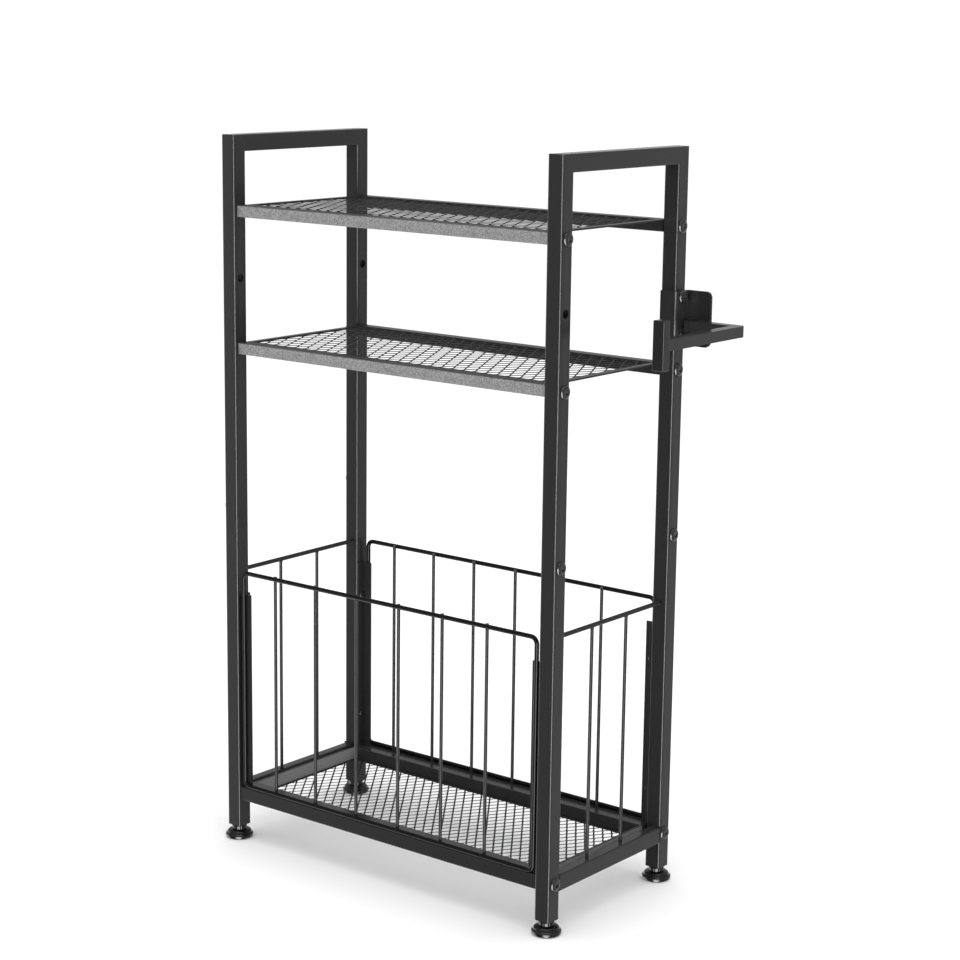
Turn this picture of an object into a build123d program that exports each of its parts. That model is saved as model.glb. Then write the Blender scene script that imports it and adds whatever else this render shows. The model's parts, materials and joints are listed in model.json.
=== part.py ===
"""Free-standing toilet paper holder: two welded end frames, two mesh shelves, a mesh tray with a wire
basket round it, a side arm for the roll in use, and four levelling feet.

Millimetres. X runs along the long side, -Y is the front and +Z is up. The origin is on the floor, at the
centre of the rectangle that the four posts stand on.
"""

import math
import os

from build123d import *

# Overall size of the frame, without the arm
WIDTH = 376.0
DEPTH = 180.0
HEIGHT = 654.0
FOOT_HEIGHT = 12.0

# Square tube of the end frames
TUBE = 15.0
WALL = 1.2
TUBE_CORNER = 1.5
SEAM_Z = 300.0
FIT_GAP = 0.05

# Low cross rails, flush with the outer faces of the posts
CROSS_RAIL_THICKNESS = 10.0
CROSS_RAIL_HEIGHT = 15.0
CROSS_RAIL_BOTTOM = 36.0

# Shelves
SHELF_TOPS = {"upper_shelf": 592.0, "middle_shelf": 469.0}
SHELF_RAIL_DEPTH = 12.0
SHELF_RAIL_HEIGHT = 10.5
SHELF_INSET = 4.0
SHELF_RAIL_WALL = 1.0
SHELF_STRIP_WIDTH = 5.0
MESH_THICKNESS = 1.5
STRAND = 1.5
SHELF_CELL = (12.0, 22.2)

# Bottom tray
TRAY_TOP = 51.0
TRAY_RAIL_DEPTH = 19.0
TRAY_RAIL_HEIGHT = 13.0
TRAY_INSET = 2.0
TRAY_RAIL_WALL = 1.2
TRAY_STRIP_WIDTH = 3.0
TRAY_MESH_TOP = 39.7
TRAY_CELL = (10.0, 13.8)

# Bolts with button heads and hex sockets
BOLT_Y = 82.0
BOLT_RADIUS = 2.5
BOLT_HOLE_RADIUS = 2.6
BOLT_HEAD_RADIUS = 6.0
BOLT_HEAD_HEIGHT = 2.6
BOLT_SOCKET = 4.0
BOLT_SOCKET_DEPTH = 1.6
BOLT_REACH = 12.0
COUPLER_BOLT_Z = 318.0
SPARE_HOLE_Z = 527.0
SPARE_HOLE_RADIUS = 3.75

# Couplers inside the posts
COUPLER_BELOW = 30.0
COUPLER_ABOVE = 40.0
COUPLER_BORE_RADIUS = 3.5

# Wire basket
RIM_Z = 257.0
RIM_RADIUS = 2.0
BAR_RADIUS = 1.5
BASKET_HALF_WIDTH = 168.2
BASKET_FRAME_Y = 86.5
BASKET_BEND = 6.0
BAR_FIRST_X = -132.0
BAR_SPACING = 49.0
BAR_COUNT = 6
SIDE_RIM_X = 180.0
SIDE_BAR_Y = 25.0
BRACKET_TOP = 236.0
BRACKET_WIDTH = 10.5
BRACKET_THICKNESS = 2.0
BRACKET_SIDE_DEPTH = 9.0
SCREW_HEIGHTS = (84.0, 204.0)
SCREW_RADIUS = 1.5
SCREW_HEAD_RADIUS = 3.0
SCREW_HEAD_HEIGHT = 1.6
SCREW_REACH = 5.0

# Side arm for the roll in use
ARM_X = 245.0
ARM_Z = 502.0
ARM_SECTION = 9.5
ARM_END_Y = -25.5
STOP_WIDTH = 11.0
STOP_DEPTH = 9.0
STOP_HEIGHT = 41.0
ARM_BRACKET_TOP = 532.0
ARM_BRACKET_HEIGHT = 48.0
ARM_BRACKET_THICKNESS = 2.5
ARM_FLANGE_END_X = 214.0
ARM_FLANGE_CORNER = 5.0
ARM_BOLT_Z = (SPARE_HOLE_Z, 491.0)

# Levelling feet: a pad with a threaded stud set in it, which screws in and out of the post
PAD_RADIUS = 13.0
PAD_RIM = 3.6
PAD_TOP = 7.4
PAD_TOP_RADIUS = 8.0
STUD_RADIUS = 3.0
STUD_BOTTOM = 2.0
STUD_TOP = 40.0
COLLAR_RADIUS = 7.0
COLLAR_TOP = 11.8
INSERT_LENGTH = 12.0
RUNNING_GAP = 0.05

POST_X = WIDTH / 2 - TUBE / 2
POST_Y = DEPTH / 2 - TUBE / 2
INNER_X = WIDTH / 2 - TUBE
INNER_Y = DEPTH / 2 - TUBE
OUTER_X = WIDTH / 2
SIDES = {"left": -1, "right": 1}
ENDS = {"front": -1, "back": 1}
CORNERS = {f"{end}_{side}": (SIDES[side], ENDS[end]) for end in ENDS for side in SIDES}
TRAY_BOLT_Z = TRAY_TOP - TRAY_RAIL_HEIGHT / 2


def block(x, y, z):
    """A box between two values on each axis."""
    size = [abs(pair[1] - pair[0]) for pair in (x, y, z)]
    middle = [(pair[0] + pair[1]) / 2 for pair in (x, y, z)]
    return Pos(*middle) * Box(*size)


def rod(axis, start, length, radius):
    """A cylinder from start along the +X, +Y or +Z axis, or against it for a negative length."""
    turn = {"x": Rotation(0, 90, 0), "y": Rotation(-90, 0, 0), "z": Rotation(0, 0, 0)}[axis]
    shape = Cylinder(radius, abs(length), align=(Align.CENTER, Align.CENTER, Align.MIN))
    if length < 0:
        shape = Pos(0, 0, length) * shape
    return Pos(*start) * turn * shape


def tube_profile(width, height, wall, corner):
    """A hollow rectangle with rounded outside and inside corners."""
    inner_corner = max(corner - wall, 0.4)
    return RectangleRounded(width, height, corner) - RectangleRounded(
        width - 2 * wall, height - 2 * wall, inner_corner
    )


def upright_tube(x, y, bottom, top):
    return Pos(x, y, bottom) * extrude(tube_profile(TUBE, TUBE, WALL, TUBE_CORNER), top - bottom)


def tube_along_y(x, z, width, height, wall, length):
    """A tube centred on y = 0, width across X and height across Z."""
    profile = Plane.XZ * tube_profile(width, height, wall, TUBE_CORNER)
    return Pos(x, 0, z) * extrude(profile, length / 2, both=True)


def rail_along_x(y, z, depth, height, wall, bolt_z):
    """A tube across the whole gap between the end frames, closed by a tapped plug at each end."""
    profile = Plane.YZ * tube_profile(depth, height, wall, 1.0)
    rail = Pos(0, y, z) * extrude(profile, INNER_X, both=True)
    for side in (-1, 1):
        reach = (side * (INNER_X - BOLT_REACH), side * INNER_X)
        core_y = (y - depth / 2 + wall, y + depth / 2 - wall)
        core_z = (z - height / 2 + wall, z + height / 2 - wall)
        rail += block(reach, core_y, core_z)
        bolt_y = math.copysign(BOLT_Y, y)
        rail -= rod("x", (side * (INNER_X + 1), bolt_y, bolt_z), -side * (BOLT_REACH + 2), BOLT_HOLE_RADIUS)
    return rail


def expanded_sheet(half_x, half_y, cell):
    """Flat expanded metal: a sheet with rows of diamond openings, and a knuckle at its centre."""
    across, along = cell[0] / 2, cell[1] / 2
    inset = STRAND / 2 * math.hypot(across, along)
    across_open = across - inset / along
    along_open = along - inset / across
    corners = [(across_open, 0), (0, along_open), (-across_open, 0), (0, -along_open)]
    diamond = make_face(Polyline(*corners, close=True))
    columns = math.ceil(half_x / across)
    rows = math.ceil(half_y / along)
    openings = [
        Pos(i * across, j * along) * diamond
        for i in range(-columns, columns + 1)
        for j in range(-rows, rows + 1)
        if (i + j) % 2
    ]
    inside = Rectangle(2 * half_x - STRAND, 2 * half_y - STRAND)
    border = Rectangle(2 * half_x, 2 * half_y) - inside
    return extrude(inside - openings + border, MESH_THICKNESS)


def button_bolt(side, y, z, face_x, reach):
    """A bolt whose head sits on the plane x = side * face_x and whose shank points inwards."""
    head = rod("x", (side * face_x, y, z), side * BOLT_HEAD_HEIGHT, BOLT_HEAD_RADIUS)
    outer_edge = head.edges().filter_by(GeomType.CIRCLE).sort_by(Axis.X)[-1 if side > 0 else 0]
    head = fillet(outer_edge, BOLT_HEAD_HEIGHT * 0.75)
    shank = rod("x", (side * face_x, y, z), -side * reach, BOLT_RADIUS)
    socket = Plane.YZ * RegularPolygon(BOLT_SOCKET / 2, 6, major_radius=False)
    floor_x = side * (face_x + BOLT_HEAD_HEIGHT - BOLT_SOCKET_DEPTH)
    socket = Pos(floor_x, y, z) * extrude(socket, side * (BOLT_SOCKET_DEPTH + 1))
    return head + shank - socket


def four_bolts(z, reach):
    return Compound([button_bolt(sx, sy * BOLT_Y, z, OUTER_X, reach) for sx, sy in CORNERS.values()])


def end_frames():
    """Posts in two lengths, the mitred top rails, the low cross rails and the couplers in the posts."""
    parts = {}
    shelf_bolt_z = [top - SHELF_RAIL_HEIGHT / 2 for top in SHELF_TOPS.values()]
    for corner, (sx, sy) in CORNERS.items():
        x, y = sx * POST_X, sy * POST_Y
        outside = sx * (OUTER_X + 1)
        through = -sx * (TUBE + 2)
        lower = upright_tube(x, y, FOOT_HEIGHT, SEAM_Z)
        lower -= rod("x", (outside, sy * BOLT_Y, TRAY_BOLT_Z), through, BOLT_HOLE_RADIUS)
        for z in SCREW_HEIGHTS:
            start = (sx * (INNER_X - 1), sy * screw_y(), z)
            lower -= rod("x", start, sx * (WALL + 2), SCREW_RADIUS + FIT_GAP)
        upper = upright_tube(x, y, SEAM_Z, HEIGHT)
        mitre = Plane(origin=(0, y, HEIGHT - TUBE / 2), z_dir=(0, -sy, 1))
        upper = split(upper, bisect_by=mitre, keep=Keep.BOTTOM)
        for z in shelf_bolt_z:
            upper -= rod("x", (outside, sy * BOLT_Y, z), through, BOLT_HOLE_RADIUS)
        on_arm_post = corner == "back_right"
        spare_radius = BOLT_HOLE_RADIUS if on_arm_post else SPARE_HOLE_RADIUS
        upper -= rod("x", (outside, y, SPARE_HOLE_Z), through, spare_radius)
        if on_arm_post:
            upper -= rod("x", (outside, y, ARM_BOLT_Z[1]), through, BOLT_HOLE_RADIUS)
        upper -= rod("x", (outside, y, COUPLER_BOLT_Z), -sx * (WALL + 2), BOLT_HOLE_RADIUS)
        parts[f"{corner}_lower_post"] = lower
        parts[f"{corner}_upper_post"] = upper
    for side, sx in SIDES.items():
        rail = tube_along_y(sx * POST_X, HEIGHT - TUBE / 2, TUBE, TUBE, WALL, DEPTH)
        for sy in ENDS.values():
            mitre = Plane(origin=(0, sy * POST_Y, HEIGHT - TUBE / 2), z_dir=(0, -sy, 1))
            rail = split(rail, bisect_by=mitre, keep=Keep.TOP)
        parts[f"{side}_top_rail"] = rail
        cross_x = sx * (OUTER_X - CROSS_RAIL_THICKNESS / 2)
        cross_z = CROSS_RAIL_BOTTOM + CROSS_RAIL_HEIGHT / 2
        size = (CROSS_RAIL_THICKNESS, CROSS_RAIL_HEIGHT)
        parts[f"{side}_cross_rail"] = tube_along_y(cross_x, cross_z, *size, WALL, 2 * INNER_Y)
    parts["post_couplers"] = Compound([coupler(sx, sy) for sx, sy in CORNERS.values()])
    bolts = [
        button_bolt(sx, sy * POST_Y, COUPLER_BOLT_Z, OUTER_X, TUBE - WALL - 1)
        for sx, sy in CORNERS.values()
    ]
    parts["coupler_bolts"] = Compound(bolts)
    return parts


def coupler(sx, sy):
    """A bored square bar, half in the lower post and half in the upper, tapped for its bolt."""
    across = TUBE - 2 * WALL - 2 * FIT_GAP
    length = COUPLER_BELOW + COUPLER_ABOVE
    bar = extrude(RectangleRounded(across, across, 1.0) - Circle(COUPLER_BORE_RADIUS), length)
    bar = Pos(sx * POST_X, sy * POST_Y, SEAM_Z - COUPLER_BELOW) * bar
    hole_start = (sx * (OUTER_X + 1), sy * POST_Y, COUPLER_BOLT_Z)
    return bar - rod("x", hole_start, -sx * (TUBE + 2), BOLT_HOLE_RADIUS)


def shelf(name, top):
    """Two square-edged rails, two thin end strips and expanded metal set flush between them."""
    parts = {}
    rail_y = DEPTH / 2 - SHELF_INSET - SHELF_RAIL_DEPTH / 2
    rail_z = top - SHELF_RAIL_HEIGHT / 2
    inner_y = rail_y - SHELF_RAIL_DEPTH / 2
    for end, sy in ENDS.items():
        section = (SHELF_RAIL_DEPTH, SHELF_RAIL_HEIGHT, SHELF_RAIL_WALL)
        parts[f"{name}_{end}_rail"] = rail_along_x(sy * rail_y, rail_z, *section, rail_z)
    strip_x = (INNER_X - SHELF_STRIP_WIDTH, INNER_X)
    for side, sx in SIDES.items():
        span = (sx * strip_x[0], sx * strip_x[1])
        parts[f"{name}_{side}_end_strip"] = block(span, (-inner_y, inner_y), (top - MESH_THICKNESS, top))
    plate = expanded_sheet(strip_x[0], inner_y, SHELF_CELL)
    parts[f"{name}_mesh"] = Pos(0, 0, top - MESH_THICKNESS) * plate
    parts[f"{name}_bolts"] = four_bolts(rail_z, TUBE + BOLT_REACH - 1)
    return parts


def tray():
    """The bottom panel: deeper rails than the shelves, with finer expanded metal low between them."""
    parts = {}
    rail_y = DEPTH / 2 - TRAY_INSET - TRAY_RAIL_DEPTH / 2
    inner_y = rail_y - TRAY_RAIL_DEPTH / 2
    for end, sy in ENDS.items():
        section = (TRAY_RAIL_DEPTH, TRAY_RAIL_HEIGHT, TRAY_RAIL_WALL)
        parts[f"tray_{end}_rail"] = rail_along_x(sy * rail_y, TRAY_BOLT_Z, *section, TRAY_BOLT_Z)
    strip_x = (INNER_X - TRAY_STRIP_WIDTH, INNER_X)
    strip_z = (TRAY_TOP - TRAY_RAIL_HEIGHT, TRAY_TOP)
    for side, sx in SIDES.items():
        span = (sx * strip_x[0], sx * strip_x[1])
        parts[f"tray_{side}_end_strip"] = block(span, (-inner_y, inner_y), strip_z)
    plate = expanded_sheet(strip_x[0], inner_y, TRAY_CELL)
    parts["tray_mesh"] = Pos(0, 0, TRAY_MESH_TOP - MESH_THICKNESS) * plate
    parts["tray_bolts"] = four_bolts(TRAY_BOLT_Z, TUBE + BOLT_REACH - 1)
    return parts


def screw_y():
    """Distance from the centre plane to the axis of the basket screws."""
    flange_back = BASKET_FRAME_Y - RIM_RADIUS - BRACKET_THICKNESS
    return flange_back - SCREW_HEAD_RADIUS - 0.3


def basket():
    """Closed wire frames front and back, straight rims at the sides, upright bars and end brackets."""
    parts = {}
    frame_bottom = TRAY_TOP + RIM_RADIUS
    bar_y = BASKET_FRAME_Y - RIM_RADIUS - BAR_RADIUS
    bar_top = RIM_Z + BAR_RADIUS
    loop_height = RIM_Z - frame_bottom
    loop = Plane.XZ * RectangleRounded(2 * BASKET_HALF_WIDTH, loop_height, BASKET_BEND)
    loop = loop.face().outer_wire()
    start = Plane(origin=loop @ 0, z_dir=loop % 0)
    ring = sweep(start * Circle(RIM_RADIUS), path=loop)
    for end, sy in ENDS.items():
        frame_place = Pos(0, sy * BASKET_FRAME_Y, (RIM_Z + frame_bottom) / 2)
        parts[f"{end}_basket_frame"] = frame_place * ring
        bars = [
            rod("z", (BAR_FIRST_X + i * BAR_SPACING, sy * bar_y, TRAY_TOP), bar_top - TRAY_TOP, BAR_RADIUS)
            for i in range(BAR_COUNT)
        ]
        parts[f"{end}_basket_bars"] = Compound(bars)
    cross_rail_top = CROSS_RAIL_BOTTOM + CROSS_RAIL_HEIGHT
    for side, sx in SIDES.items():
        rim = rod("y", (sx * SIDE_RIM_X, -INNER_Y, RIM_Z), 2 * INNER_Y, RIM_RADIUS)
        bars = []
        for sy in ENDS.values():
            foot = (sx * SIDE_RIM_X, sy * SIDE_BAR_Y, cross_rail_top)
            bars.append(rod("z", foot, RIM_Z - cross_rail_top, BAR_RADIUS) - rim)
        parts[f"{side}_basket_rim"] = rim
        parts[f"{side}_basket_bars"] = Compound(bars)
    screws = []
    for corner, (sx, sy) in CORNERS.items():
        parts[f"{corner}_basket_bracket"] = basket_bracket(sx, sy)
        screws += [basket_screw(sx, sy, z) for z in SCREW_HEIGHTS]
    parts["basket_screws"] = Compound(screws)
    return parts


def basket_bracket(sx, sy):
    """An angle strip behind the end wire of the basket, screwed to the inner face of a post."""
    outer_y = BASKET_FRAME_Y - RIM_RADIUS
    front_x = (sx * (INNER_X - BRACKET_WIDTH), sx * INNER_X)
    height = (TRAY_TOP, BRACKET_TOP)
    angle = block(front_x, (sy * (outer_y - BRACKET_THICKNESS), sy * outer_y), height)
    side_x = (sx * (INNER_X - BRACKET_THICKNESS), sx * INNER_X)
    angle += block(side_x, (sy * (outer_y - BRACKET_SIDE_DEPTH), sy * outer_y), height)
    for z in SCREW_HEIGHTS:
        start = (sx * (INNER_X - BRACKET_THICKNESS - 1), sy * screw_y(), z)
        angle -= rod("x", start, sx * (BRACKET_THICKNESS + 2), SCREW_RADIUS + FIT_GAP)
    return angle


def basket_screw(sx, sy, z):
    seat = (sx * (INNER_X - BRACKET_THICKNESS), sy * screw_y(), z)
    head = rod("x", seat, -sx * SCREW_HEAD_HEIGHT, SCREW_HEAD_RADIUS)
    free_edge = head.edges().filter_by(GeomType.CIRCLE).sort_by(Axis.X)[0 if sx > 0 else -1]
    head = fillet(free_edge, SCREW_HEAD_HEIGHT * 0.6)
    return head + rod("x", seat, sx * SCREW_REACH, SCREW_RADIUS)


def side_arm():
    """A strap round the back right post, a bent square bar on it and an upright stop on the bar's end."""
    bottom = ARM_BRACKET_TOP - ARM_BRACKET_HEIGHT
    half = ARM_BRACKET_THICKNESS / 2
    front_y = INNER_Y - half
    web_x = OUTER_X + half
    flange_y = DEPTH / 2 + half
    route = FilletPolyline(
        (INNER_X + 1, front_y), (web_x, front_y), (web_x, flange_y), (ARM_FLANGE_END_X, flange_y),
        radius=half + 0.05,
    )
    strap = extrude(trace(route, line_width=ARM_BRACKET_THICKNESS), ARM_BRACKET_HEIGHT)
    free_corners = strap.edges().filter_by(Axis.Y).group_by(Axis.X)[-1]
    strap = Pos(0, 0, bottom) * fillet(free_corners, ARM_FLANGE_CORNER)
    for z in ARM_BOLT_Z:
        strap -= rod("x", (OUTER_X - 1, POST_Y, z), ARM_BRACKET_THICKNESS + 2, BOLT_HOLE_RADIUS)
    bar_half = ARM_SECTION / 2
    weld_y = flange_y - half
    bar_z = (ARM_Z - bar_half, ARM_Z + bar_half)
    bar_start_x = OUTER_X + ARM_BRACKET_THICKNESS + BOLT_HEAD_HEIGHT + 1
    bar_x = (bar_start_x, ARM_X + bar_half)
    bar = block(bar_x, (weld_y - ARM_SECTION, weld_y), bar_z)
    bar += block((ARM_X - bar_half, ARM_X + bar_half), (ARM_END_Y, weld_y), bar_z)
    outer_bend = bar.edges().filter_by(Axis.Z).sort_by(lambda e: e.center().X + e.center().Y)[-1]
    bar = fillet(outer_bend, bar_half)
    stop_z = (ARM_Z - STOP_HEIGHT / 2, ARM_Z + STOP_HEIGHT / 2)
    stop_x = (ARM_X - STOP_WIDTH / 2, ARM_X + STOP_WIDTH / 2)
    stop = block(stop_x, (ARM_END_Y - STOP_DEPTH, ARM_END_Y), stop_z)
    stop = fillet(stop.edges(), 0.8)
    face_x = OUTER_X + ARM_BRACKET_THICKNESS
    bolts = [button_bolt(1, POST_Y, z, face_x, TUBE + ARM_BRACKET_THICKNESS) for z in ARM_BOLT_Z]
    return {
        "arm_bracket": strap,
        "arm_bar": bar,
        "arm_end_stop": stop,
        "arm_bolts": Compound(bolts),
    }


def levelling_feet():
    """Each foot is a pad, a threaded stud with a grip collar set in the pad, and a tapped plug in the post."""
    parts = {}
    pad_outline = [
        (0, 0), (PAD_RADIUS - 1, 0), (PAD_RADIUS, 1), (PAD_RADIUS, PAD_RIM),
    ]
    dome = ThreePointArc(
        (PAD_RADIUS, PAD_RIM),
        (PAD_RADIUS - 1.6, (PAD_RIM + PAD_TOP) / 2 + 0.7),
        (PAD_TOP_RADIUS, PAD_TOP),
    )
    profile = Polyline(*pad_outline) + dome + Polyline((PAD_TOP_RADIUS, PAD_TOP), (0, PAD_TOP), (0, 0))
    pad = revolve(Plane.XZ * make_face(profile), Axis.Z)
    pad -= rod("z", (0, 0, STUD_BOTTOM), PAD_TOP, STUD_RADIUS + FIT_GAP)
    collar = rod("z", (0, 0, PAD_TOP), COLLAR_TOP - PAD_TOP, COLLAR_RADIUS)
    collar = fillet(collar.edges().filter_by(GeomType.CIRCLE).sort_by(Axis.Z)[-1], 1.2)
    stud = collar + rod("z", (0, 0, STUD_BOTTOM), STUD_TOP - STUD_BOTTOM, STUD_RADIUS)
    stud = chamfer(stud.edges().filter_by(GeomType.CIRCLE).sort_by(Axis.Z)[-1], 0.8)
    across = TUBE - 2 * WALL - 2 * FIT_GAP
    insert = extrude(RectangleRounded(across, across, 1.0) - Circle(STUD_RADIUS + RUNNING_GAP), INSERT_LENGTH)
    inserts = []
    for corner, (sx, sy) in CORNERS.items():
        place = Pos(sx * POST_X, sy * POST_Y, 0)
        parts[f"{corner}_foot_pad"] = place * pad
        parts[f"{corner}_foot_stud"] = place * stud
        inserts.append(place * Pos(0, 0, FOOT_HEIGHT) * insert)
    parts["foot_inserts"] = Compound(inserts)
    return parts


def build():
    nodes = end_frames()
    for name, top in SHELF_TOPS.items():
        nodes |= shelf(name, top)
    nodes |= tray()
    nodes |= basket()
    nodes |= side_arm()
    nodes |= levelling_feet()
    return nodes


os.makedirs("parts", exist_ok=True)
for node, shape in build().items():
    export_step(shape, f"parts/{node}.step")
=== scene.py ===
import json
import math

import bmesh
import bpy
from mathutils import Matrix, Vector


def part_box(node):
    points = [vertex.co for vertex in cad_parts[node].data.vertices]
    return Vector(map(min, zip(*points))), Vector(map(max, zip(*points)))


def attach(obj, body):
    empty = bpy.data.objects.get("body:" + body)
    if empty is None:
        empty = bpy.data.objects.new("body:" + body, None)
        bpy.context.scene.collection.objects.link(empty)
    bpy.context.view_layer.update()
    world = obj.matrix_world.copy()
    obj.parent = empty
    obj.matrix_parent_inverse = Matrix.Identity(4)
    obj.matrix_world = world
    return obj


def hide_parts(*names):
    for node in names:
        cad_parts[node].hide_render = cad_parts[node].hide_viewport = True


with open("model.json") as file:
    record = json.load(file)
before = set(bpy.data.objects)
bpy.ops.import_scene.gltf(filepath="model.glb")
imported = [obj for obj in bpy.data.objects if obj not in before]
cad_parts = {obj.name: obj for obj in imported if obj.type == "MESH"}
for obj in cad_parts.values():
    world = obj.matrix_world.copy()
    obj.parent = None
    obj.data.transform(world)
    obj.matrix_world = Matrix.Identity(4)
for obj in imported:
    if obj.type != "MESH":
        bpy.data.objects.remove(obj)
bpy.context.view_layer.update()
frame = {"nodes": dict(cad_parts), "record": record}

MM = 0.001

# Camera
CAMERA_PLACE = Vector((1.2603, -1.5457, 0.7626))
CAMERA_YAW = math.radians(38.345)
CAMERA_PITCH = math.radians(11.578)
CAMERA_ROLL = math.radians(0.73)
CAMERA_LENS = 85.65

# Coatings: noise scales are per metre, and SPECK_RANGE is a stretch of the noise, which runs from 0 to 1
PEBBLE_SCALE = 1500
PEBBLE_DEPTH = 0.0002
GLOSS_SCALE = 400
GLOSS_DRIFT = 0.03
SPECK_SCALE = 1100
SPECK_RANGE = (0.35, 0.72)
WORN_EDGE = (0.07, 0.07, 0.07, 1)
WORN_EDGE_RANGE = (0.52, 0.62)
WORN_EDGE_SHARE = 0.35
ZINC_MOTTLE_SCALE = 220
SHARP_ANGLE = math.radians(40)

# Expanded metal: (short way, long way) of a diamond
SHELF_CELL = (12.0 * MM, 22.2 * MM)
TRAY_CELL = (10.0 * MM, 13.8 * MM)
STRAND_WIDTH = 1.5 * MM
STRAND_THICKNESS = 0.55 * MM
STRAND_TILT = math.radians(15)
STRAND_RISE = 0.15 * MM
STRAND_STEPS = 4
SHORTEST_SPAN = 0.05
SHEET_BORDER = 1.5 * MM
BORDER_ROUNDING = 0.25 * MM

# Button bolts
BOLT_HEAD_RADIUS = 6.0 * MM
BOLT_HEAD_HEIGHT = 2.6 * MM
BOLT_RIM_HEIGHT = 0.4 * MM
BOLT_UNDERSIDE = 0.93
BOLT_SHANK_RADIUS = 2.5 * MM
BOLT_SHANK_LENGTH = 12.0 * MM
SOCKET_MOUTH_RADIUS = 2.9 * MM
SOCKET_HALF_ACROSS = 2.1 * MM
SOCKET_LIP = 0.12 * MM
SOCKET_FLOOR = 0.9 * MM
DOME_STEPS = 9

# Feet
THREAD_PITCH = 1.0 * MM
THREAD_DEPTH = 0.35 * MM
THREAD_SEGMENTS = 24
RINGS_PER_TURN = 6
STUD_RADIUS = 3.0 * MM
COLLAR_RADIUS = 7.0 * MM
COLLAR_TOP = 11.8 * MM
STUD_OVERLAP = 0.5 * MM
COLLAR_FLUTES = 20
FLUTE_DEPTH = 0.02
PAD_TOP = 7.4 * MM
PAD_SHOULDER = 4.5 * MM
PAD_DOME_INSET = 8.6 * MM
PAD_DOME_STEPS = 8

# Wires and welds
WIRE_RADIUS = 1.5 * MM
RIM_RADIUS = 2.0 * MM
BASKET_BARS = 6
NUGGET_RADIUS = 1.7 * MM
RIM_NUGGET_RADIUS = 2.7 * MM
BEAD_RADIUS = 1.0 * MM
BEAD_STEP = 0.9

# Studio
WORLD_STRENGTH = 1.05
BOX_STRENGTH = 14.0
TOP_LIGHT_PLACE = Vector((0.3, -0.4, 3.0))
TOP_LIGHT_TARGET = Vector((0, 0, 0.3))
TOP_LIGHT_SIZE = 2.5
TOP_LIGHT_POWER = 25
FLOOR_SIZE = 30
FLOOR_DROP = 0.5 * MM
BACK_LEVEL = 0.12
SKY_LEVEL = 0.035
SKY_RANGE = (-0.02, 0.1)
# (compass direction in degrees, brightness), where 0 is +X and 90 is +Y
REFLECTED_LEVELS = (
    (-150, 0.3), (-138, 0.03), (-128, 0.001), (-84, 0.001), (-64, 1.0),
    (-44, 1.0), (-24, 0.01), (45, 0.035), (125, 0.1),
)


def add_camera():
    forward = Vector((
        -math.sin(CAMERA_YAW) * math.cos(CAMERA_PITCH),
        math.cos(CAMERA_YAW) * math.cos(CAMERA_PITCH),
        -math.sin(CAMERA_PITCH),
    ))
    level = Vector((math.cos(CAMERA_YAW), math.sin(CAMERA_YAW), 0))
    upright = level.cross(forward)
    right = math.cos(CAMERA_ROLL) * level + math.sin(CAMERA_ROLL) * upright
    up = right.cross(forward)
    data = bpy.data.cameras.new("camera")
    data.lens = CAMERA_LENS
    camera = bpy.data.objects.new("camera", data)
    turn = Matrix((right, up, -forward)).transposed().to_4x4()
    camera.matrix_world = Matrix.Translation(CAMERA_PLACE) @ turn
    bpy.context.scene.collection.objects.link(camera)
    bpy.context.scene.camera = camera


# Materials

def new_material(name):
    material = bpy.data.materials.new(name)
    material.use_nodes = True
    nodes = material.node_tree.nodes
    return material, nodes, material.node_tree.links, nodes["Principled BSDF"]


def noise(nodes, links, place, scale, detail):
    texture = nodes.new("ShaderNodeTexNoise")
    texture.inputs["Scale"].default_value = scale
    texture.inputs["Detail"].default_value = detail
    links.new(place.outputs["Object"], texture.inputs["Vector"])
    return texture.outputs["Fac"]


def map_range(nodes, links, value, start, end):
    """value, mapped from the pair start to the pair end."""
    node = nodes.new("ShaderNodeMapRange")
    node.inputs["From Min"].default_value, node.inputs["From Max"].default_value = start
    node.inputs["To Min"].default_value, node.inputs["To Max"].default_value = end
    links.new(value, node.inputs["Value"])
    return node.outputs["Result"]


def two_tones(nodes, links, value, positions, colours):
    ramp = nodes.new("ShaderNodeValToRGB")
    for stop, position, colour in zip(ramp.color_ramp.elements, positions, colours):
        stop.position = position
        stop.color = colour
    links.new(value, ramp.inputs["Fac"])
    return ramp.outputs["Color"]


def mix_colour(nodes, links, share, first, second):
    """The colour output first, mixed towards the plain colour second."""
    node = nodes.new("ShaderNodeMix")
    node.data_type = "RGBA"
    node.inputs["B"].default_value = second
    links.new(share, node.inputs["Factor"])
    links.new(first, node.inputs["A"])
    return node.outputs["Result"]


def grey(level):
    return (level, level, level, 1)


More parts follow.
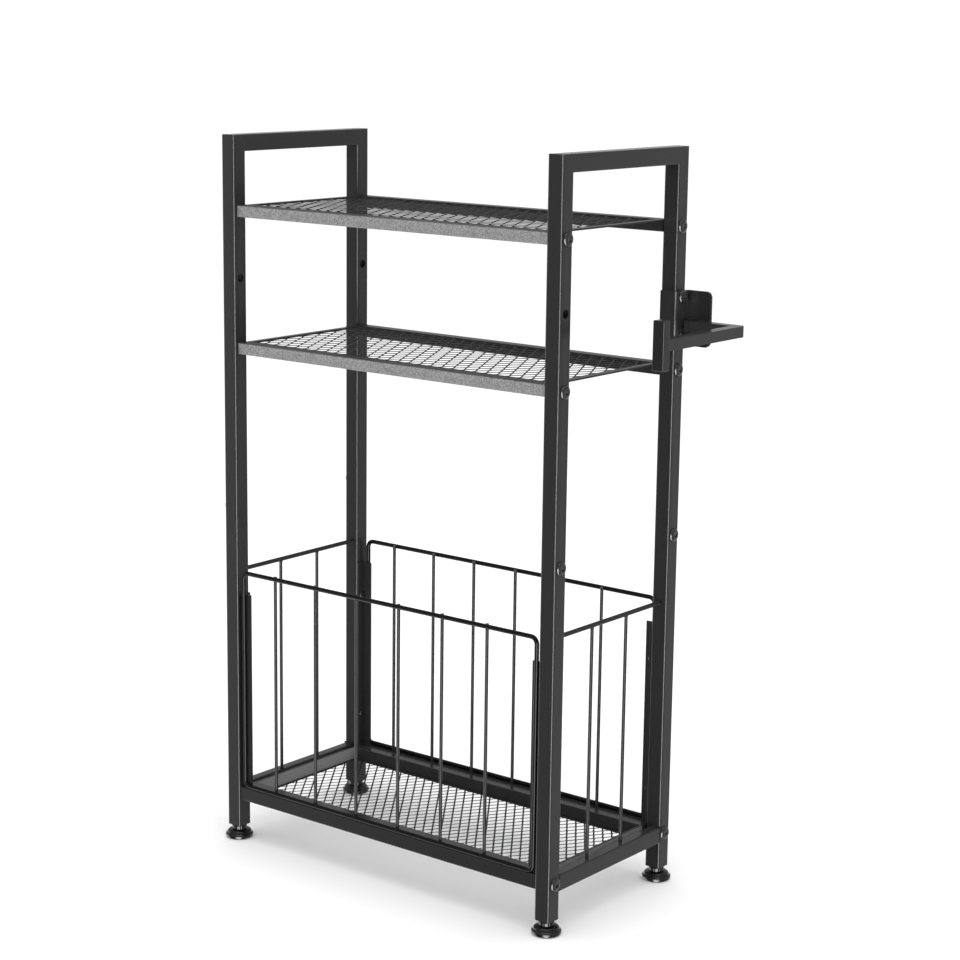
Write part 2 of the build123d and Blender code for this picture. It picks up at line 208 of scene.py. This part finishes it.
def coating(name, shade, speck, roughness, grain, specular, painted_top_shade=None):
    """Black coating: a pebbled skin, small pale specks, drifting gloss and faint wear on sharp edges; given
    a top colour, faces that point up are darkened towards it as painted shade.
    """
    material, nodes, links, shader = new_material(name)
    shader.inputs["Specular IOR Level"].default_value = specular
    place = nodes.new("ShaderNodeTexCoord")
    bump = nodes.new("ShaderNodeBump")
    bump.inputs["Strength"].default_value = grain
    bump.inputs["Distance"].default_value = PEBBLE_DEPTH
    links.new(noise(nodes, links, place, PEBBLE_SCALE, 3), bump.inputs["Height"])
    links.new(bump.outputs["Normal"], shader.inputs["Normal"])

    drift = noise(nodes, links, place, GLOSS_SCALE, 3)
    gloss_range = (roughness - GLOSS_DRIFT, roughness + GLOSS_DRIFT)
    links.new(map_range(nodes, links, drift, (0.3, 0.7), gloss_range), shader.inputs["Roughness"])

    tones = (shade, shade, shade * 1.03, 1), grey(speck)
    colour = two_tones(nodes, links, noise(nodes, links, place, SPECK_SCALE, 4), SPECK_RANGE, tones)
    geometry = nodes.new("ShaderNodeNewGeometry")
    # Painted shade: the colour is mixed towards a dark top colour by how far the face points up, so tops
    # come out darker than the sides.
    if painted_top_shade is not None:
        normal = nodes.new("ShaderNodeSeparateXYZ")
        links.new(geometry.outputs["Normal"], normal.inputs["Vector"])
        colour = mix_colour(nodes, links, normal.outputs["Z"], colour, grey(painted_top_shade))
    edge = map_range(nodes, links, geometry.outputs["Pointiness"], WORN_EDGE_RANGE, (0, WORN_EDGE_SHARE))
    links.new(mix_colour(nodes, links, edge, colour, WORN_EDGE), shader.inputs["Base Color"])
    return material


def zinc_steel(name):
    """Plated steel inside the posts: a mottled pale grey metal."""
    material, nodes, links, shader = new_material(name)
    shader.inputs["Metallic"].default_value = 1
    place = nodes.new("ShaderNodeTexCoord")
    mottle = noise(nodes, links, place, ZINC_MOTTLE_SCALE, 3)
    tones = (0.32, 0.33, 0.34, 1), (0.6, 0.6, 0.58, 1)
    links.new(two_tones(nodes, links, mottle, (0, 1), tones), shader.inputs["Base Color"])
    links.new(map_range(nodes, links, mottle, (0, 1), (0.25, 0.5)), shader.inputs["Roughness"])
    return material


finishes = {
    "frame_powder_coat": coating("frame_powder_coat", 0.002, 0.005, 0.2, 0.06, 0.3),
    # Painted light: the shelf coat's light grey stands in for light on the front faces of the shelf front
    # rails; its tops take painted shade.
    "shelf_powder_coat": coating("shelf_powder_coat", 0.18, 0.55, 0.45, 0.3, 0.2, painted_top_shade=0.004),
    "mesh_powder_coat": coating("mesh_powder_coat", 0.003, 0.006, 0.5, 0.1, 0.1),
    "wire_powder_coat": coating("wire_powder_coat", 0.003, 0.006, 0.3, 0.08, 0.15),
    "black_bolts": coating("black_bolts", 0.008, 0.016, 0.25, 0.02, 0.75),
    "bare_steel": zinc_steel("bare_steel"),
    "foot_plastic": coating("foot_plastic", 0.004, 0.006, 0.16, 0.02, 0.4),
}


# Mesh pieces

def add_piece(name, bm, finish, body, stands_for=(), smooth=False):
    mesh = bpy.data.meshes.new(name)
    bmesh.ops.recalc_face_normals(bm, faces=bm.faces)
    for face in bm.faces:
        face.smooth = smooth
    bm.to_mesh(mesh)
    bm.free()
    piece = bpy.data.objects.new(name, mesh)
    bpy.context.scene.collection.objects.link(piece)
    mesh.materials.append(finishes[finish])
    if smooth:
        mesh.set_sharp_from_angle(angle=SHARP_ANGLE)
    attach(piece, body)
    if stands_for:
        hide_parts(*stands_for)


def bridge(bm, rings):
    """Joins rings of equal length into a skin, and closes both its ends."""
    for lower, upper in zip(rings, rings[1:]):
        count = len(lower)
        for i in range(count):
            j = (i + 1) % count
            bm.faces.new((lower[i], lower[j], upper[j], upper[i]))
    bm.faces.new(rings[0])
    bm.faces.new(rings[-1])


def add_ring(bm, place, height, radius_at, segments):
    """A ring of points round the local z axis of place. radius_at gives the radius for an angle."""
    ring = []
    for i in range(segments):
        angle = math.tau * i / segments
        radius = radius_at(angle)
        point = Vector((radius * math.cos(angle), radius * math.sin(angle), height))
        ring.append(bm.verts.new(place @ point))
    return ring


def add_round_rings(bm, place, profile, segments):
    """One round ring for each (radius, height) of the profile."""
    return [add_ring(bm, place, height, lambda angle: radius, segments) for radius, height in profile]


def strand(bm, start, along, span, middle_z):
    """One strand between two knuckles: a flat strip that leans and sinks from one knuckle to the next."""
    ahead = along.normalized()
    aside = Vector((ahead.y, -ahead.x, 0)) * (1 if ahead.y > 0 else -1)
    wide = (aside * math.cos(STRAND_TILT) + Vector((0, 0, math.sin(STRAND_TILT)))) * STRAND_WIDTH / 2
    thick = (Vector((0, 0, math.cos(STRAND_TILT))) - aside * math.sin(STRAND_TILT)) * STRAND_THICKNESS / 2
    outline = [(-1, -0.4), (-0.8, -1), (0.8, -1), (1, -0.4), (1, 0.4), (0.8, 1), (-0.8, 1), (-1, 0.4)]
    shift = Vector((STRAND_WIDTH / 4, 0, 0))
    rings = []
    for k in range(STRAND_STEPS + 1):
        t = span[0] + (span[1] - span[0]) * k / STRAND_STEPS
        centre = start + along * t + shift * (1 - 2 * t)
        centre.z = middle_z + STRAND_RISE * math.cos(math.pi * t)
        rings.append([bm.verts.new(centre + wide * a + thick * b) for a, b in outline])
    bridge(bm, rings)


def inside_span(start, along, half_x, half_y):
    """The stretch of start + t * along, t from 0 to 1, that lies in the sheet, or None."""
    low, high = 0.0, 1.0
    for place, step, half in ((start.x, along.x, half_x), (start.y, along.y, half_y)):
        ends = sorted(((-half - place) / step, (half - place) / step))
        low, high = max(low, ends[0]), min(high, ends[1])
    return (low, high) if high - low > SHORTEST_SPAN else None


def add_bar(bm, low, high):
    """A straight bar with softened edges, from its lowest to its highest corner."""
    centre = (Vector(low) + Vector(high)) / 2
    size = Vector(high) - Vector(low)
    place = Matrix.Translation(centre) @ Matrix.Diagonal((*size, 1))
    made = bmesh.ops.create_cube(bm, size=1, matrix=place)
    edges = list({edge for vert in made["verts"] for edge in vert.link_edges})
    bmesh.ops.bevel(bm, geom=edges, offset=BORDER_ROUNDING, segments=2, affect="EDGES")


def expanded_metal(node, cell):
    """Raised expanded metal in the place of a flat sheet: leaning strands between knuckles, in a border."""
    low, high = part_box(node)
    centre = (Vector(low) + Vector(high)) / 2
    half_x, half_y = (high[0] - low[0]) / 2, (high[1] - low[1]) / 2
    across, along = cell[0] / 2, cell[1] / 2
    middle = Vector((centre.x, centre.y, 0))
    bm = bmesh.new()
    columns, rows = math.ceil(half_x / across), math.ceil(half_y / along)
    reach_x, reach_y = half_x - SHEET_BORDER / 2, half_y - SHEET_BORDER / 2
    for i in range(-columns, columns):
        for j in range(-rows, rows + 1):
            if (i + j) % 2:
                continue
            knuckle = Vector((i * across, j * along, 0))
            for side in (-1, 1):
                step = Vector((across, side * along, 0))
                span = inside_span(knuckle, step, reach_x, reach_y)
                if span:
                    strand(bm, knuckle + middle, step, span, centre.z)
    for side in (-1, 1):
        inner_x, outer_x = sorted((side * (half_x - SHEET_BORDER), side * half_x))
        inner_y, outer_y = sorted((side * (half_y - SHEET_BORDER), side * half_y))
        add_bar(bm, (inner_x, low[1], low[2]), (outer_x, high[1], high[2]))
        add_bar(bm, (low[0], inner_y + centre.y, low[2]), (high[0], outer_y + centre.y, high[2]))
    add_piece(f"{node}_raised", bm, "mesh_powder_coat", "rack", [node])


def facing(point, direction):
    """A place whose local z axis runs along direction."""
    turn = Vector(direction).to_track_quat("Z", "Y").to_matrix().to_4x4()
    return Matrix.Translation(point) @ turn


def hexagon_radius(angle):
    sector = math.pi / 3
    return SOCKET_HALF_ACROSS / math.cos((angle + sector / 2) % sector - sector / 2)


def button_head(bm, point, direction):
    """A domed bolt on a surface at point, with a rolled rim, a hex socket and a shank behind it."""
    place = facing(point, direction)
    segments = 48
    profile = [
        (BOLT_SHANK_RADIUS, -BOLT_SHANK_LENGTH),
        (BOLT_SHANK_RADIUS, 0),
        (BOLT_HEAD_RADIUS * BOLT_UNDERSIDE, 0),
    ]
    for k in range(DOME_STEPS + 1):
        turn = math.pi / 2 * k / DOME_STEPS
        radius = SOCKET_MOUTH_RADIUS + (BOLT_HEAD_RADIUS - SOCKET_MOUTH_RADIUS) * math.cos(turn)
        height = BOLT_RIM_HEIGHT + (BOLT_HEAD_HEIGHT - BOLT_RIM_HEIGHT) * math.sin(turn)
        profile.append((radius, height))
    rings = add_round_rings(bm, place, profile, segments)
    for height in (BOLT_HEAD_HEIGHT - SOCKET_LIP, SOCKET_FLOOR):
        rings.append(add_ring(bm, place, height, hexagon_radius, segments))
    bridge(bm, rings)


def add_bolts(node, spots):
    """Bolts at (point, outward direction) spots, in the place of a CAD node."""
    bm = bmesh.new()
    for point, outward in spots:
        button_head(bm, point, outward)
    add_piece(f"{node}_domed", bm, "black_bolts", "rack", [node], smooth=True)


def corner_spots(node, head_x):
    """Places of four side bolts, worked out from the box of their CAD node."""
    low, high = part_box(node)
    middle_z = (low[2] + high[2]) / 2
    spots = []
    for side in (-1, 1):
        for y in (low[1] + BOLT_HEAD_RADIUS, high[1] - BOLT_HEAD_RADIUS):
            spots.append(((side * head_x, y, middle_z), (side, 0, 0)))
    return spots


def arm_bolt_spots():
    """Places of the roll arm's two bolts, one above the other."""
    low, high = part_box("arm_bolts")
    head_x, y = high[0] - BOLT_HEAD_HEIGHT, (low[1] + high[1]) / 2
    heights = (low[2] + BOLT_HEAD_RADIUS, high[2] - BOLT_HEAD_RADIUS)
    return [((head_x, y, z), (1, 0, 0)) for z in heights]


def add_nugget(bm, point, size, squash=(1, 1, 1)):
    """A small uneven lump of weld."""
    made = bmesh.ops.create_icosphere(bm, subdivisions=3, radius=size)
    for vert in made["verts"]:
        unit = vert.co.normalized()
        swell = 1 + 0.06 * math.sin(5 * unit.x + 3 * unit.z) + 0.05 * math.sin(7 * unit.y + 40 * point[0])
        vert.co = Vector(point) + Vector(c * s for c, s in zip(vert.co * swell, squash))


def add_bead(bm, start, end):
    """A weld bead as a row of overlapping lumps from start to end."""
    start, end = Vector(start), Vector(end)
    count = max(2, round((end - start).length / (BEAD_RADIUS * BEAD_STEP)))
    for k in range(count + 1):
        add_nugget(bm, start.lerp(end, k / count), BEAD_RADIUS)


def end_basket_welds(side):
    """Lumps where the upright wires meet the closed wire frame at the front or back."""
    bm = bmesh.new()
    bars_low, bars_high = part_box(f"{side}_basket_bars")
    frame_low, frame_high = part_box(f"{side}_basket_frame")
    first, last = bars_low[0] + WIRE_RADIUS, bars_high[0] - WIRE_RADIUS
    joint_y = (bars_low[1] + bars_high[1] + frame_low[1] + frame_high[1]) / 4
    for i in range(BASKET_BARS):
        x = first + (last - first) * i / (BASKET_BARS - 1)
        for z in (frame_low[2] + RIM_RADIUS, frame_high[2] - RIM_RADIUS):
            add_nugget(bm, (x, joint_y, z), NUGGET_RADIUS, (1.1, 0.7, 0.9))
    add_piece(f"{side}_basket_welds", bm, "wire_powder_coat", "rack", smooth=True)


def side_welds(side):
    """Lumps at the ends of a side rim and its wires, and beads at the ends of the low cross rail."""
    bm = bmesh.new()
    rim_low, rim_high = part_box(f"{side}_basket_rim")
    bars_low, bars_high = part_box(f"{side}_basket_bars")
    rim_x = (rim_low[0] + rim_high[0]) / 2
    rim_z = (rim_low[2] + rim_high[2]) / 2
    for y in (rim_low[1], rim_high[1]):
        add_nugget(bm, (rim_x, y, rim_z), RIM_NUGGET_RADIUS, (1, 0.55, 1))
    for y in (bars_low[1] + WIRE_RADIUS, bars_high[1] - WIRE_RADIUS):
        add_nugget(bm, (rim_x, y, rim_z - RIM_RADIUS * 0.8), NUGGET_RADIUS, (1.1, 1.2, 0.8))
        add_nugget(bm, (rim_x, y, bars_low[2]), NUGGET_RADIUS, (1.1, 1.2, 0.7))
    rail_low, rail_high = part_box(f"{side}_cross_rail")
    inner_x = min(rail_low[0], rail_high[0], key=abs)
    for y in (rail_low[1], rail_high[1]):
        add_bead(bm, (rail_low[0], y, rail_high[2]), (rail_high[0], y, rail_high[2]))
        add_bead(bm, (inner_x, y, rail_low[2]), (inner_x, y, rail_high[2]))
    add_piece(f"{side}_welds", bm, "wire_powder_coat", "rack", smooth=True)


def add_pad(corner, place, radius):
    """A rounded pad with a groove above its rim."""
    bm = bmesh.new()
    profile = [
        (radius - 1.2 * MM, 0), (radius - 0.35 * MM, 0.3 * MM), (radius, 1.1 * MM), (radius, 3.0 * MM),
        (radius - 0.5 * MM, 3.7 * MM), (radius - 1.3 * MM, 4.1 * MM), (radius - 1.6 * MM, PAD_SHOULDER),
    ]
    for k in range(1, PAD_DOME_STEPS + 1):
        turn = math.pi / 2 * k / PAD_DOME_STEPS
        dome_radius = COLLAR_RADIUS + (radius - PAD_DOME_INSET) * math.cos(turn)
        profile.append((dome_radius, PAD_SHOULDER + (PAD_TOP - PAD_SHOULDER) * math.sin(turn)))
    bridge(bm, add_round_rings(bm, place, profile, 64))
    pad = f"{corner}_foot_pad"
    add_piece(f"{corner}_pad_turned", bm, "foot_plastic", f"{corner}_foot", [pad], smooth=True)


def add_collar(bm, place):
    """A grip collar with shallow flutes."""
    profile = [
        (6.0 * MM, PAD_TOP - 0.3 * MM), (COLLAR_RADIUS, PAD_TOP + 0.5 * MM), (COLLAR_RADIUS, 10.4 * MM),
        (6.8 * MM, 11.1 * MM), (6.2 * MM, 11.6 * MM), (5.4 * MM, COLLAR_TOP),
    ]
    rings = []
    for radius, height in profile:
        def fluted(angle):
            return radius * (1 - FLUTE_DEPTH * (1 + math.cos(COLLAR_FLUTES * angle)))
        rings.append(add_ring(bm, place, height, fluted, 4 * COLLAR_FLUTES))
    bridge(bm, rings)


def add_thread(bm, place, top):
    """A threaded rod from inside the collar to top, its radius following a helix."""
    bottom = COLLAR_TOP - STUD_OVERLAP
    count = round((top - COLLAR_TOP) / THREAD_PITCH * RINGS_PER_TURN)
    rings = []
    for k in range(count + 1):
        height = bottom + (top - bottom) * k / count

        def threaded(angle):
            phase = (height / THREAD_PITCH - angle / math.tau) % 1
            return STUD_RADIUS - THREAD_DEPTH * abs(2 * phase - 1)
        rings.append(add_ring(bm, place, height, threaded, THREAD_SEGMENTS))
    bridge(bm, rings)


def add_foot(corner):
    """A pad, and a stud with its grip collar."""
    low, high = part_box(f"{corner}_foot_pad")
    place = Matrix.Translation(((low[0] + high[0]) / 2, (low[1] + high[1]) / 2, 0))
    add_pad(corner, place, (high[0] - low[0]) / 2)
    bm = bmesh.new()
    add_collar(bm, place)
    stud = f"{corner}_foot_stud"
    add_thread(bm, place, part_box(stud)[1][2])
    add_piece(f"{corner}_stud_threaded", bm, "foot_plastic", f"{corner}_foot", [stud], smooth=True)


# Studio

def add_floor():
    bpy.ops.mesh.primitive_plane_add(size=FLOOR_SIZE, location=(0, 0, -FLOOR_DROP))
    floor = bpy.context.object
    floor.name = "floor"
    material, nodes, links, shader = new_material("floor_white")
    shader.inputs["Base Color"].default_value = (0.98, 0.98, 0.98, 1)
    shader.inputs["Roughness"].default_value = 1
    shader.inputs["Specular IOR Level"].default_value = 0
    floor.data.materials.append(material)
    floor.visible_glossy = False


def add_top_light():
    data = bpy.data.lights.new("top_light", "AREA")
    data.shape = "RECTANGLE"
    data.size, data.size_y = TOP_LIGHT_SIZE, TOP_LIGHT_SIZE
    data.energy = TOP_LIGHT_POWER
    light = bpy.data.objects.new("top_light", data)
    light.location = TOP_LIGHT_PLACE
    light.rotation_euler = (TOP_LIGHT_TARGET - TOP_LIGHT_PLACE).to_track_quat("-Z", "Y").to_euler()
    bpy.context.scene.collection.objects.link(light)


def compass_levels(nodes, links, split):
    """Brightness by compass direction, from the split x and y of a direction."""
    compass = nodes.new("ShaderNodeMath")
    compass.operation = "ARCTAN2"
    links.new(split.outputs["Y"], compass.inputs[0])
    links.new(split.outputs["X"], compass.inputs[1])
    ramp = nodes.new("ShaderNodeValToRGB")
    stops = ramp.color_ramp.elements
    for end, position in ((stops[0], 0), (stops[1], 1)):
        end.position = position
        end.color = grey(BACK_LEVEL)
    for degrees, level in REFLECTED_LEVELS:
        stops.new((degrees + 180) / 360).color = grey(level)
    turn = map_range(nodes, links, compass.outputs["Value"], (-math.pi, math.pi), (0, 1))
    links.new(turn, ramp.inputs["Fac"])
    return ramp.outputs["Color"]


def add_world():
    """White all round, but what gloss mirrors has soft boxes and dark flags below an even sky."""
    world = bpy.data.worlds.new("studio")
    bpy.context.scene.world = world
    world.use_nodes = True
    world.cycles.sampling_method = "NONE"
    nodes, links = world.node_tree.nodes, world.node_tree.links
    background = nodes["Background"]
    background.inputs["Color"].default_value = (1, 1, 1, 1)
    background.inputs["Strength"].default_value = WORLD_STRENGTH
    direction = nodes.new("ShaderNodeTexCoord")
    split = nodes.new("ShaderNodeSeparateXYZ")
    links.new(direction.outputs["Generated"], split.inputs["Vector"])
    above = map_range(nodes, links, split.outputs["Z"], SKY_RANGE, (0, 1))
    levels = mix_colour(nodes, links, above, compass_levels(nodes, links, split), grey(SKY_LEVEL))
    boxes = nodes.new("ShaderNodeBackground")
    boxes.inputs["Strength"].default_value = BOX_STRENGTH
    links.new(levels, boxes.inputs["Color"])
    path = nodes.new("ShaderNodeLightPath")
    mix = nodes.new("ShaderNodeMixShader")
    links.new(path.outputs["Is Glossy Ray"], mix.inputs["Fac"])
    links.new(background.outputs["Background"], mix.inputs[1])
    links.new(boxes.outputs["Background"], mix.inputs[2])
    links.new(mix.outputs["Shader"], nodes["World Output"].inputs["Surface"])


add_camera()
add_floor()
add_world()
add_top_light()
bpy.context.scene.view_settings.view_transform = "Standard"

for part in frame["record"]["subparts"]:
    node = frame["nodes"][part["node"]]
    for i in range(len(node.material_slots)):
        node.material_slots[i].material = finishes[part["material_slot"]]
# Painted shade: the back rails and end strips of the shelves take the near-black wire coat, while the front
# rails keep the light grey shelf coat painted as lit.
for shelf in ("upper_shelf", "middle_shelf"):
    for part in ("back_rail", "left_end_strip", "right_end_strip"):
        for slot in frame["nodes"][f"{shelf}_{part}"].material_slots:
            slot.material = finishes["wire_powder_coat"]

expanded_metal("upper_shelf_mesh", SHELF_CELL)
expanded_metal("middle_shelf_mesh", SHELF_CELL)
expanded_metal("tray_mesh", TRAY_CELL)
frame_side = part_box("right_top_rail")[1][0]
for node in ("upper_shelf_bolts", "middle_shelf_bolts", "tray_bolts", "coupler_bolts"):
    add_bolts(node, corner_spots(node, frame_side))
add_bolts("arm_bolts", arm_bolt_spots())
end_basket_welds("front")
end_basket_welds("back")
side_welds("left")
side_welds("right")
for corner in ("front_left", "front_right", "back_left", "back_right"):
    add_foot(corner)
